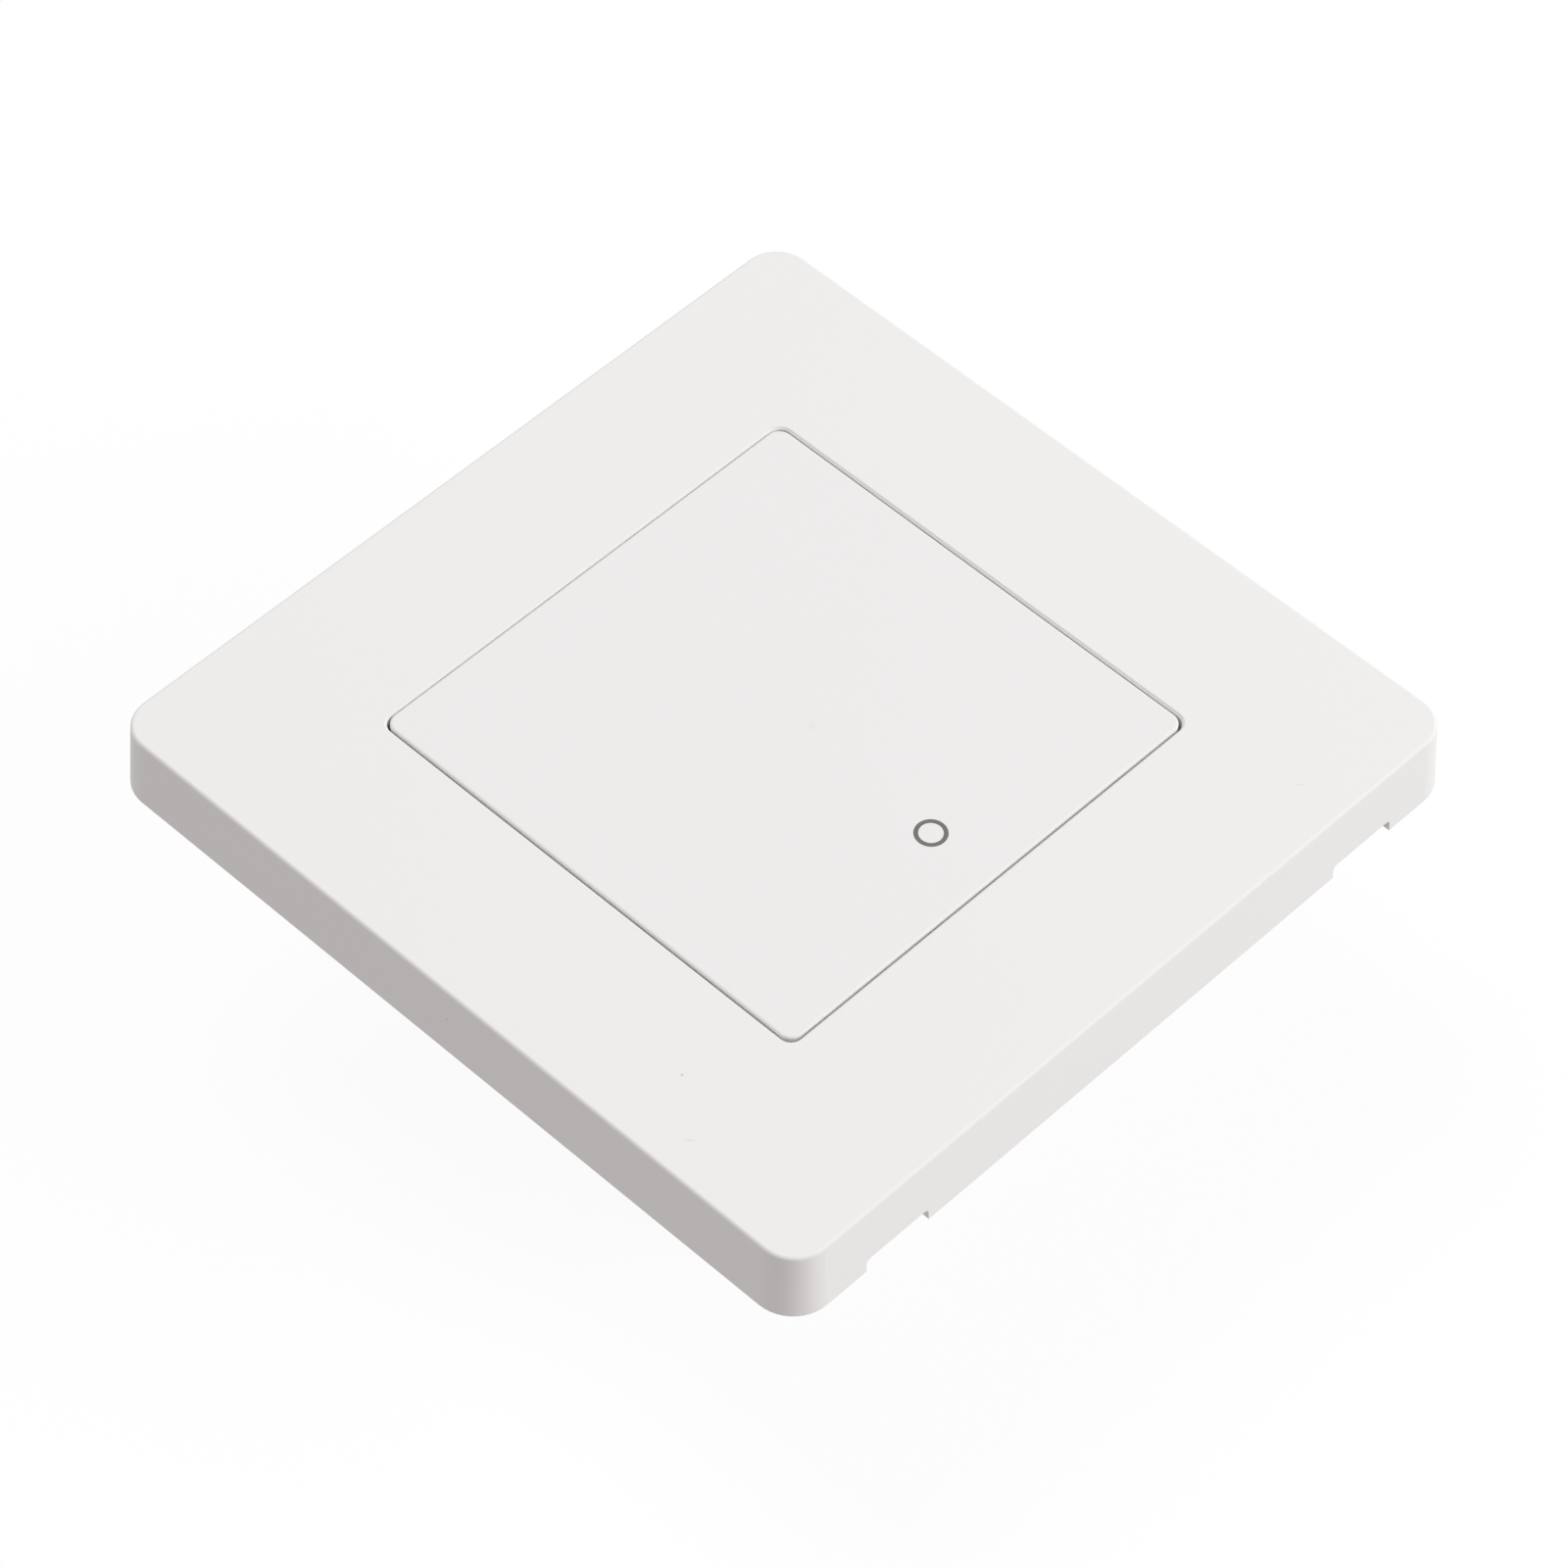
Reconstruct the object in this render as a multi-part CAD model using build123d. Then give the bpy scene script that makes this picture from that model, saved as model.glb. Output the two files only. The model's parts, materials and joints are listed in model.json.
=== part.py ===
from build123d import *
import math
import os

# Flush-mounted smart light switch for a square wall box, in millimetres and degrees.
# The origin is the centre of the wall plane: +Z points out of the wall, +Y points up, +X to the right.

# Front plate
plate_side = 86.0
plate_height = 7.7
plate_draft = 3.7
plate_corner_radius = 4.1
plate_edge_radius = 0.35
plate_wall = 2.0
plate_rib_thickness = 1.0
plate_rib_offset = 13.0
pry_notch_spacing = 60.4
pry_notch_width = 7.7
pry_notch_height = 1.4
pry_notch_radius = 0.5
cut_margin = 0.8

# Opening and push key
opening_side = 51.2
opening_corner_radius = 1.25
opening_edge_cut = 0.22
collar_wall = 1.2
collar_depth = 2.4
key_gap = 0.2
key_hinge_gap = 0.1
key_corner_radius = 1.4
key_edge_radius = 0.25
key_thickness = 1.8
key_skirt_wall = 1.2
key_rib_thickness = 1.0
key_rib_depth = 1.3
key_rib_offset = 9.0
key_press_angle = 1.0

# Key pivot: stub pins on two arms of the key, snapped into open clips on the chassis
pivot_inset = 5.5
pivot_arm_x = 12.0
pivot_arm_thickness = 1.4
key_arm_gap = 0.5
pin_radius = 0.9
pin_clearance = 0.05
clip_wall = 0.8
clip_width = 2.6
clip_side_gap = 0.4
clip_mouth = 1.5
clip_lip_height = 1.2

# Key stops
stop_pad_height = 0.6
stop_pad_x = 10.0
stop_pad_width = 5.0
stop_play = 0.05
hook_x = 14.5
hook_width = 4.0
hook_thickness = 1.2
hook_catch = 0.9
hook_length = 0.9
hook_play = 0.1
hook_slot_clearance = 0.3

# Leaf springs under the key
spring_x = 17.5
spring_width = 4.0
spring_thickness = 0.25
spring_foot_y = 6.0
spring_foot_length = 5.0
spring_reach = 14.0
spring_pad_length = 1.6
spring_tip_drop = 1.0
spring_bend_radius = 0.8
spring_peg_side = 1.5
spring_peg_head_side = 2.6
spring_peg_head_height = 0.6
spring_peg_edge = 0.3
spring_play = 0.05

# Indicator ring in the key
ring_y = -18.0
ring_outer_radius = 1.57
ring_inner_radius = 1.14
ring_depth = 1.2
ring_leg_count = 2
ring_leg_arc = 60.0
ring_leg_length = 2.4
ring_fit = 0.02
ring_boss_side = 6.0
ring_boss_depth = 0.9
light_well_side = 3.8
light_well_wall = 0.7
light_well_rise = 1.0

# Mounting chassis
chassis_side = 74.0
deck_thickness = 2.0
wall_screw_spacing = 60.3
wall_slot_width = 4.5
wall_slot_length = 8.5
housing_rebate = 0.6
locating_rib_wall = 1.2
locating_rib_depth = 2.0
fit_clearance = 0.1
running_clearance = 0.02

# Snap hooks of the front plate on the chassis edge
snap_x = 20.0
snap_width = 6.0
snap_thickness = 1.3
snap_gap = 0.3
snap_catch = 0.8
snap_ledge = 0.8
snap_barb_height = 0.8
snap_play = 0.05

# Rear housing
housing_side = 51.0
housing_depth = 28.0
housing_wall = 1.6
housing_draft = 0.8
corner_cut = 3.0
housing_edge = 0.7
housing_snap_width = 7.0
housing_snap_catch = 1.0
housing_snap_height = 1.3
housing_snap_land = 0.4
housing_snap_play = 0.1
board_rest_width = 2.0
board_rest_y = 4.0
board_rest_overlap = 0.8
board_latch_height = 1.4

# Circuit boards
board_thickness = 1.6
board_edge_gap = 0.9
board_standoff = 2.5
board_spacing = 4.3
board_post_side = 3.4
board_post_x = 15.5
board_post_y = 13.0
board_latch_y = -2.0
board_latch_width = 4.0
board_latch_thickness = 1.1
board_latch_catch = 0.7
board_latch_clearance = 0.25

# Push switch under the key
tact_y = -9.0
tact_side = 6.2
tact_base_height = 3.2
tact_cover_thickness = 0.25
tact_height = 5.0
tact_stem_radius = 1.6
tact_flange_side = 4.2
tact_flange_height = 0.5
tact_clearance = 0.15
tact_window_margin = 0.6
tact_lead_width = 0.7
tact_lead_thickness = 0.2
tact_lead_foot = 1.2
tact_lead_rise = 1.0
tact_lead_spacing = 4.5
actuator_side = 4.4
actuator_gap = 0.1

# Lamp, radio module and board link
led_length = 1.6
led_width = 0.8
led_height = 0.7
led_edge = 0.14
radio_length = 17.5
radio_width = 15.5
radio_board_thickness = 0.8
radio_edge_gap = 1.2
shield_side = 12.0
shield_height = 2.2
shield_edge = 0.4
link_count = 5
link_pitch = 2.0
link_width = 2.2
link_socket_height = 2.8
link_socket_roof = 0.5
link_pin_end_gap = 0.5
link_pin_side = 0.5
link_pin_fit = 0.05

# Places on the power board, as shares of its side from its middle
link_share = (0.0, -0.065)
relay_share = (-0.15, 0.32)
input_capacitor_share = (0.27, 0.29)
output_capacitor_share = (-0.10, 0.09)
inductor_share = (-0.34, 0.05)
varistor_share = (0.34, -0.05)
fuse_share = (0.11, -0.13)
rectifier_share = (0.13, 0.06)
converter_share = (-0.20, -0.09)

# Parts on the power board
lead_side = 0.6
lead_hole_fit = 0.1
lead_overhang = 1.0
box_edge = 0.5
relay_length = 19.0
relay_width = 10.4
relay_floor_gap = 1.4
relay_lead_places = ((-8.0, -3.7), (-8.0, 3.7), (2.0, 0.0), (7.0, -3.7), (7.0, 3.7))
input_capacitor_radius = 5.0
input_capacitor_height = 12.5
output_capacitor_radius = 3.15
output_capacitor_height = 8.0
capacitor_lead_spacing = 3.0
inductor_side = 7.3
inductor_height = 4.5
inductor_edge = 0.8
inductor_lead_spacing = 5.0
varistor_radius = 4.5
varistor_thickness = 3.6
varistor_lead_spacing = 5.0
varistor_stand = 0.5
fuse_size = (8.4, 4.0, 7.6)
fuse_lead_spacing = 5.1
converter_lead_count = 4
converter_lead_pitch = 1.27
chip_lead_width = 0.45
chip_lead_reach = 0.9
chip_lead_thickness = 0.25
rectifier_size = (4.8, 3.9, 2.3)
rectifier_lead_count = 2
rectifier_lead_pitch = 2.54
converter_size = (4.9, 3.9, 1.5)

# Wire terminals
terminal_count = 3
terminal_pitch = 9.5
terminal_block_wall = 1.2
terminal_block_depth = 11.0
terminal_front_gap = 0.1
clamp_side = 6.2
clamp_wall = 0.9
clamp_length = 7.0
clamp_rise = 9.4
clamp_fit = 0.2
clamp_inset = 1.0
clamp_tail_width = 2.0
clamp_tail_thickness = 0.8
clamp_screw_radius = 1.5
clamp_screw_length = 4.2
clamp_screw_head_radius = 2.3
clamp_screw_head_height = 1.8
clamp_screw_slot_width = 0.8
clamp_screw_slot_length = 4.0
driver_clearance = 0.4
wire_window_side = 5.2
bay_depth = 3.0
bay_wall = 1.4
bay_side_gap = 0.3
fin_thickness = 1.4

# Heights that follow from the sizes above, counted from the wall plane
face_z = plate_height
plate_under_z = face_z - plate_wall
key_under_z = face_z - key_thickness
deck_z = deck_thickness
deck_under_z = housing_rebate
control_top_z = -board_standoff
control_under_z = control_top_z - board_thickness
power_top_z = control_under_z - board_spacing
power_under_z = power_top_z - board_thickness
back_z = -housing_depth
floor_z = back_z + housing_wall
clamp_z = floor_z + clamp_rise
tact_top_z = control_top_z + tact_height

# Places that follow from the sizes above
key_width = opening_side - 2 * key_gap
key_top_y = opening_side / 2 - key_hinge_gap
key_low_y = key_gap - opening_side / 2
key_length = key_top_y - key_low_y
key_y = (key_top_y + key_low_y) / 2
pivot_y = key_top_y - pivot_inset
pivot_z = (deck_z + key_under_z) / 2
clip_x = pivot_arm_x + pivot_arm_thickness + clip_side_gap + clip_width / 2
press = math.radians(key_press_angle)
key_lower_travel = (pivot_y - key_low_y) * math.sin(press)
key_skirt_z = deck_z + stop_pad_height + stop_play + key_lower_travel
housing_inner_side = housing_side - 2 * housing_wall
rib_outer_side = housing_inner_side - 2 * fit_clearance
rib_inner_side = rib_outer_side - 2 * locating_rib_wall
housing_snap_top_z = housing_snap_height + housing_snap_play - locating_rib_depth
quarter_turns = (0, 90, 180, 270)
hook_y = hook_slot_clearance + hook_thickness / 2 - rib_inner_side / 2
board_side = housing_inner_side - 2 * board_edge_gap
radio_y = board_side / 2 - radio_length / 2 - radio_edge_gap
terminal_places = [terminal_pitch * (i - (terminal_count - 1) / 2) for i in range(terminal_count)]
chamber_side = clamp_side + 2 * clamp_fit
terminal_block_width = terminal_pitch * (terminal_count - 1) + chamber_side + 2 * terminal_block_wall
bay_width = terminal_block_width + 2 * bay_side_gap
bay_back_y = bay_depth - housing_side / 2
bay_roof_z = power_under_z - bay_wall - fit_clearance
block_front_y = bay_back_y + bay_wall + terminal_front_gap
block_back_y = block_front_y + terminal_block_depth
clamp_front_y = block_front_y + clamp_inset
clamp_y = clamp_front_y + clamp_length / 2
clamp_screw_z = clamp_z - clamp_side / 2 + clamp_wall - clamp_screw_length
driver_hole_radius = clamp_screw_head_radius + driver_clearance


def on_board(share):
    """Place on the power board at this share of its side."""
    return board_side * share[0], board_side * share[1]


link_x, link_y = on_board(link_share)
relay_place = on_board(relay_share)
input_capacitor_place = on_board(input_capacitor_share)
output_capacitor_place = on_board(output_capacitor_share)
inductor_place = on_board(inductor_share)
varistor_place = on_board(varistor_share)
fuse_place = on_board(fuse_share)
rectifier_place = on_board(rectifier_share)
converter_place = on_board(converter_share)


def slab(size_x, size_y, z_low, z_high, x=0.0, y=0.0, radius=0.0):
    """Upright prism on a rectangle, with its upright edges rounded."""
    outline = RectangleRounded(size_x, size_y, radius) if radius > 0 else Rectangle(size_x, size_y)
    return Pos(x, y, z_low) * extrude(outline, amount=z_high - z_low)


def rod(radius, z_low, z_high, x=0.0, y=0.0):
    """Upright cylinder."""
    return Pos(x, y, z_low) * extrude(Circle(radius), amount=z_high - z_low)


def tube(outer_radius, inner_radius, z_low, z_high, x=0.0, y=0.0):
    """Upright tube."""
    return Pos(x, y, z_low) * extrude(Circle(outer_radius) - Circle(inner_radius), amount=z_high - z_low)


def cut_block(side, z_low, z_high, draft=0.0):
    """Square block with cut corners that narrows downwards by its mould draft."""
    outline = chamfer(Rectangle(side, side).vertices(), corner_cut)
    return Pos(0, 0, z_high) * Rot(180, 0, 0) * extrude(outline, amount=z_high - z_low, taper=draft)


def prism_along_x(points, width, x=0.0):
    """Prism on an outline of (y, z) points, centred on x."""
    return Pos(x, 0, 0) * extrude(Plane.YZ * Polygon(*points, align=None), amount=width / 2, both=True)


def both_sides(shape):
    """The shape and its mirror image across the middle plane of the switch."""
    return shape + mirror(shape, about=Plane.YZ)


def front_frame():
    """Hollow cover plate: drafted walls, collar round the key, ribs, snap hooks and pry notches."""
    outline = RectangleRounded(plate_side, plate_side, plate_corner_radius)
    plate = extrude(outline, amount=face_z, taper=plate_draft)
    plate = fillet(plate.faces().sort_by(Axis.Z)[-1].edges(), plate_edge_radius)
    cavity_side = plate_side - 2 * plate_wall
    plate -= extrude(Rectangle(cavity_side, cavity_side), amount=plate_under_z, taper=plate_draft)

    collar_side = opening_side + 2 * collar_wall
    plate += slab(collar_side, collar_side, plate_under_z - collar_depth, plate_under_z)

    rib_start = collar_side / 2 - collar_wall / 2
    rib_end = plate_side / 2 - plate_wall / 2
    rib_span = rib_end - rib_start
    rib_middle = (rib_start + rib_end) / 2
    rib = slab(plate_rib_thickness, rib_span, deck_z, plate_under_z, plate_rib_offset, rib_middle)
    plate += [Rot(0, 0, turn) * rib for turn in quarter_turns]

    snap = snap_hook()
    plate += [Pos(x, 0, 0) * hook for x in (-snap_x, snap_x) for hook in (snap, mirror(snap, about=Plane.XZ))]

    plate -= slab(opening_side, opening_side, 0, face_z, radius=opening_corner_radius)
    plate = chamfer(plate.faces().sort_by(Axis.Z)[-1].inner_wires().edges(), opening_edge_cut)
    notch_outline = Plane.XZ * RectangleRounded(pry_notch_width, 2 * pry_notch_height, pry_notch_radius)
    notch = extrude(notch_outline, amount=plate_wall / 2 + cut_margin, both=True)
    notch_y = (plate_wall - plate_side) / 2
    plate -= [Pos(x, notch_y, 0) * notch for x in (-pry_notch_spacing / 2, pry_notch_spacing / 2)]
    return plate


def snap_hook():
    """One snap hook at the upper edge of the chassis: a springy arm with a barb under the chassis ledge."""
    arm_y = chassis_side / 2 + snap_gap
    barb_top = deck_z - snap_ledge - snap_play
    barb_end = barb_top - snap_barb_height
    tip_y = chassis_side / 2 - snap_catch
    outline = [
        (arm_y + snap_thickness, plate_under_z),
        (arm_y, plate_under_z),
        (arm_y, barb_top),
        (tip_y, barb_top),
        (tip_y, (barb_top + barb_end) / 2),
        (arm_y, barb_end),
        (arm_y + snap_thickness, barb_end),
    ]
    return prism_along_x(outline, snap_width)


def push_key():
    """Square key shell with ribs, pivot arms and pins, stop hooks, the actuator and the seat of the ring."""
    key = slab(key_width, key_length, key_skirt_z, face_z, y=key_y, radius=key_corner_radius)
    key = fillet(key.faces().sort_by(Axis.Z)[-1].edges(), key_edge_radius)
    inner_width = key_width - 2 * key_skirt_wall
    inner_length = key_length - 2 * key_skirt_wall
    key -= slab(inner_width, inner_length, key_skirt_z, key_under_z, y=key_y)

    rib_z = key_under_z - key_rib_depth
    for offset in (-key_rib_offset, key_rib_offset):
        key += slab(key_rib_thickness, inner_length, rib_z, key_under_z, offset, key_y)
    key += slab(inner_width, key_rib_thickness, rib_z, key_under_z, y=(pivot_y + spring_foot_y) / 2)

    key += both_sides(pivot_arm())
    key += both_sides(stop_hook())
    key += slab(actuator_side, actuator_side, tact_top_z + actuator_gap, key_under_z, y=tact_y)
    key += slab(ring_boss_side, ring_boss_side, key_under_z - ring_boss_depth, key_under_z, y=ring_y)
    key -= ring_light_path(0, key_under_z - ring_boss_depth)
    return key


def pivot_arm():
    """Arm under the key with a stub pin on the pivot line."""
    arm_width = 2 * pin_radius + clip_lip_height
    arm_end = deck_z + key_arm_gap
    middle = pivot_arm_x + pivot_arm_thickness / 2
    arm = slab(pivot_arm_thickness, arm_width, arm_end, key_under_z, middle, pivot_y)
    pin_length = clip_x + clip_width / 2 + clip_side_gap - pivot_arm_x
    pin = extrude(Plane.YZ * Circle(pin_radius), amount=pin_length)
    return arm + Pos(pivot_arm_x, pivot_y, pivot_z) * pin


def stop_hook():
    """Leg with a barb that catches under the chassis deck and holds the key in."""
    outer_y = hook_y - hook_thickness / 2
    inner_y = hook_y + hook_thickness / 2
    tip_y = inner_y + hook_slot_clearance + hook_catch
    barb_top = deck_under_z - hook_play
    barb_end = barb_top - hook_length
    outline = [
        (outer_y, key_under_z),
        (outer_y, barb_end),
        (inner_y, barb_end),
        (tip_y, (barb_top + barb_end) / 2),
        (tip_y, barb_top),
        (inner_y, barb_top),
        (inner_y, key_under_z),
    ]
    return prism_along_x(outline, hook_width, hook_x)


def ring_light_path(shrink, leg_end_z):
    """Ring near the key's face with legs that pass down between the webs of its white centre."""
    outer = ring_outer_radius - shrink
    inner = ring_inner_radius + shrink
    ring_z = face_z - ring_depth
    path = tube(outer, inner, ring_z, face_z)
    sector_reach = 2 * ring_outer_radius
    half_arc = math.radians(ring_leg_arc) / 2 - shrink / ring_inner_radius
    side = sector_reach * math.tan(half_arc)
    sector = Polygon((0, 0), (sector_reach, -side), (sector_reach, side), align=None)
    leg_outline = (Circle(outer) - Circle(inner)) & sector
    leg = Pos(0, 0, leg_end_z) * extrude(leg_outline, amount=ring_z - leg_end_z)
    path += [Rot(0, 0, 360 / ring_leg_count * i) * leg for i in range(ring_leg_count)]
    return Pos(0, ring_y, 0) * path


def indicator_ring():
    """Smoked light guide: a ring flush with the key's face, on two legs."""
    return ring_light_path(ring_fit, face_z - ring_depth - ring_leg_length)


def key_springs():
    """Pair of stamped leaf springs: a pegged foot, a rising arm and a flat pad under the key."""
    foot_z = deck_z + spring_thickness / 2
    pad_z = key_under_z - spring_play - spring_thickness / 2
    foot_front = spring_foot_y - spring_foot_length / 2
    pad_back = spring_foot_y - spring_reach
    pad_front = pad_back - spring_pad_length
    bend_line = FilletPolyline(
        (spring_foot_y + spring_foot_length / 2, foot_z),
        (foot_front, foot_z),
        (pad_back, pad_z),
        (pad_front, pad_z),
        (pad_front - spring_tip_drop, pad_z - spring_tip_drop),
        radius=spring_bend_radius,
    )
    strip = extrude(Plane.YZ * trace(bend_line, spring_thickness), amount=spring_width)
    leaf = Pos(spring_x - spring_width / 2, 0, 0) * strip
    hole = spring_peg_side + 2 * fit_clearance
    leaf -= slab(hole, hole, 0, key_under_z, spring_x, spring_foot_y)
    return both_sides(leaf)


def spring_peg():
    """Square peg with a formed head that holds down a spring's foot."""
    head_z = deck_z + spring_thickness + spring_play
    head_top = head_z + spring_peg_head_height
    peg = slab(spring_peg_side, spring_peg_side, deck_z, head_z, spring_x, spring_foot_y)
    head = slab(spring_peg_head_side, spring_peg_head_side, head_z, head_top, spring_x, spring_foot_y)
    return peg + chamfer(head.faces().sort_by(Axis.Z)[-1].edges(), spring_peg_edge)


def pivot_clip():
    """Open clip on the deck that takes a pin of the key from above."""
    bore = pin_radius + pin_clearance
    outer = bore + clip_wall
    foot = Pos(0, (deck_z - pivot_z) / 2) * Rectangle(2 * outer, pivot_z - deck_z)
    mouth = Pos(0, outer) * Rectangle(clip_mouth, 2 * outer)
    above_lips = Pos(0, clip_lip_height + outer) * Rectangle(4 * outer, 2 * outer)
    outline = Circle(outer) + foot - Circle(bore) - mouth - above_lips
    clip = extrude(Plane.YZ * outline, amount=clip_width)
    return Pos(clip_x - clip_width / 2, pivot_y, pivot_z) * clip


def mounting_chassis():
    """Carrier plate: wall screw slots, key pivot and stops, light well, board latches, housing seat."""
    chassis = cut_block(chassis_side, 0, deck_z)
    chassis -= cut_block(housing_side + 2 * fit_clearance, 0, deck_under_z)
    rib = cut_block(rib_outer_side, -locating_rib_depth, deck_under_z)
    chassis += rib - cut_block(rib_inner_side, -locating_rib_depth, deck_under_z)
    nose = housing_snap_nose()
    chassis += [Rot(0, 0, turn) * nose for turn in quarter_turns]
    for y in (-board_post_y, board_post_y):
        post = slab(board_post_side, board_post_side, control_top_z, deck_under_z, board_post_x, y)
        chassis += both_sides(post)
    chassis += both_sides(board_latch())

    well_outer = light_well_side + 2 * light_well_wall
    chassis += slab(well_outer, well_outer, control_top_z + led_height, deck_z + light_well_rise, y=ring_y)
    chassis -= slab(light_well_side, light_well_side, control_top_z, deck_z + light_well_rise, y=ring_y)
    chassis += both_sides(pivot_clip())
    chassis += both_sides(spring_peg())
    pad_y = key_low_y + key_skirt_wall / 2
    pad = slab(stop_pad_width, 2 * key_skirt_wall, deck_z, deck_z + stop_pad_height, stop_pad_x, pad_y)
    chassis += both_sides(pad)

    window = tact_side + 2 * tact_window_margin
    chassis -= slab(window, window, 0, deck_z, y=tact_y)
    slot_depth = hook_thickness + 2 * hook_slot_clearance
    slot_width = hook_width + 2 * hook_slot_clearance
    chassis -= both_sides(slab(slot_width, slot_depth, 0, deck_z, hook_x, hook_y))
    wall_slot = extrude(SlotOverall(wall_slot_length, wall_slot_width), amount=deck_z)
    chassis -= both_sides(Pos(wall_screw_spacing / 2, 0, 0) * wall_slot)
    ledge_width = snap_width + 2 * snap_gap
    ledge_depth = 2 * (snap_catch + snap_gap)
    for y in (-chassis_side / 2, chassis_side / 2):
        chassis -= both_sides(slab(ledge_width, ledge_depth, 0, deck_z - snap_ledge, snap_x, y))

    return chassis


def housing_snap_nose():
    """Ramped nose on the locating rib that clicks into a window of the rear housing."""
    root_y = rib_outer_side / 2
    outline = [
        (root_y - locating_rib_wall, housing_snap_top_z),
        (root_y + housing_snap_catch, housing_snap_top_z),
        (root_y + housing_snap_catch, housing_snap_top_z - housing_snap_land),
        (root_y, housing_snap_top_z - housing_snap_height),
        (root_y - locating_rib_wall, housing_snap_top_z - housing_snap_height),
    ]
    return prism_along_x(outline, housing_snap_width)


def board_latch():
    """Springy arm that reaches through the control board and holds it against the posts."""
    arm_low = board_latch_y - board_latch_thickness / 2
    arm_high = board_latch_y + board_latch_thickness / 2
    barb_top = control_under_z - fit_clearance
    barb_end = barb_top - board_latch_catch
    outline = [
        (arm_low, deck_under_z),
        (arm_low, barb_end),
        (arm_high, barb_end),
        (arm_high + board_latch_catch, barb_top),
        (arm_high, barb_top),
        (arm_high, deck_under_z),
    ]
    return prism_along_x(outline, board_latch_width, board_post_x)


def control_board():
    """Front board, latched against the posts of the chassis."""
    board = cut_block(board_side, control_under_z, control_top_z)
    slot_width = board_latch_width + 2 * board_latch_clearance
    slot_depth = board_latch_thickness + board_latch_catch + 2 * board_latch_clearance
    slot_y = board_latch_y + board_latch_catch / 2
    slot = slab(slot_width, slot_depth, control_under_z, control_top_z, board_post_x, slot_y)
    return board - both_sides(slot)


def tact_base():
    """Moulded base of the push switch, with the well its plunger moves in."""
    top = control_top_z + tact_base_height
    well_depth = tact_flange_height + tact_stroke() + tact_clearance
    base = slab(tact_side, tact_side, control_top_z, top, y=tact_y)
    well_side = tact_flange_side + 2 * tact_clearance
    return base - slab(well_side, well_side, top - well_depth, top, y=tact_y)


def tact_stroke():
    """How far the key pushes the plunger down."""
    return (pivot_y - tact_y) * press


def tact_cover():
    """Steel plate that closes the push switch round its plunger."""
    low = control_top_z + tact_base_height
    cover = slab(tact_side, tact_side, low, low + tact_cover_thickness, y=tact_y)
    return cover - rod(tact_stem_radius + tact_clearance, low, low + tact_cover_thickness, y=tact_y)


def tact_plunger():
    """Plunger of the push switch, with a flange that keeps it under the cover."""
    flange_top = control_top_z + tact_base_height - running_clearance
    flange_low = flange_top - tact_flange_height
    flange = slab(tact_flange_side, tact_flange_side, flange_low, flange_top, y=tact_y)
    return flange + rod(tact_stem_radius, flange_top, tact_top_z, y=tact_y)


def tact_leads():
    """Four bent leads that solder the push switch to the board."""
    side = tact_side / 2
    outline = [
        (side, control_top_z),
        (side + tact_lead_foot, control_top_z),
        (side + tact_lead_foot, control_top_z + tact_lead_thickness),
        (side + tact_lead_thickness, control_top_z + tact_lead_thickness),
        (side + tact_lead_thickness, control_top_z + tact_lead_rise),
        (side, control_top_z + tact_lead_rise),
    ]
    lead = both_sides(prism_along_x(outline, tact_lead_width, tact_lead_spacing / 2))
    return Pos(0, tact_y, 0) * (lead + mirror(lead, about=Plane.XZ))


def status_led():
    """Chip lamp on the control board under the light well."""
    lamp = slab(led_length, led_width, control_top_z, control_top_z + led_height, y=ring_y)
    return chamfer(lamp.faces().sort_by(Axis.Z)[-1].edges(), led_edge)


def radio_board():
    """Radio module's own small board, on the back of the control board."""
    low = control_under_z - radio_board_thickness
    return slab(radio_width, radio_length, low, control_under_z, y=radio_y)


def radio_shield():
    """Pressed screening can over the radio chips."""
    top = control_under_z - radio_board_thickness
    shield_y = radio_y - (radio_length - shield_side) / 2 + shield_edge
    can = slab(shield_side, shield_side, top - shield_height, top, y=shield_y)
    return chamfer(can.faces().sort_by(Axis.Z)[0].edges(), shield_edge)


def link_places():
    """X places of the pins that join the two boards."""
    return [link_x + link_pitch * (i - (link_count - 1) / 2) for i in range(link_count)]


def link_row(side, z_low, z_high):
    """Row of square pins or pin holes."""
    return Part() + [slab(side, side, z_low, z_high, x, link_y) for x in link_places()]


def link_socket():
    """Socket strip under the control board."""
    low = control_under_z - link_socket_height
    strip = slab(link_count * link_pitch, link_width, low, control_under_z, link_x, link_y)
    return strip - link_row(link_pin_side + 2 * link_pin_fit, low, control_under_z - link_socket_roof)


def link_base():
    """Strip that holds the link pins on the power board."""
    top = control_under_z - link_socket_height
    strip = slab(link_count * link_pitch, link_width, power_top_z, top, link_x, link_y)
    return strip - link_row(link_pin_side + 2 * link_pin_fit, power_top_z, top)


def link_pins():
    """Pins that join the two boards."""
    top = control_under_z - link_socket_roof - link_pin_end_gap
    return link_row(link_pin_side, power_under_z - lead_overhang, top)


def lead_pair(spacing, place):
    """Places of two leads, spaced along X about a part's place."""
    return [(place[0] - spacing / 2, place[1]), (place[0] + spacing / 2, place[1])]


def relay_leads():
    """Places of the relay's leads on the power board."""
    return [(relay_place[0] + x, relay_place[1] + y) for x, y in relay_lead_places]


def power_leads():
    """Places of all wire leads in the power board."""
    places = relay_leads()
    for place in (input_capacitor_place, output_capacitor_place):
        places += lead_pair(capacitor_lead_spacing, place)
    places += lead_pair(inductor_lead_spacing, inductor_place)
    places += lead_pair(varistor_lead_spacing, varistor_place)
    places += lead_pair(fuse_lead_spacing, fuse_place)
    return places


def leads(places, z_low=power_under_z):
    """Square leads from a part up through the power board."""
    return [slab(lead_side, lead_side, z_low, power_top_z + lead_overhang, x, y) for x, y in places]


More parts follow.
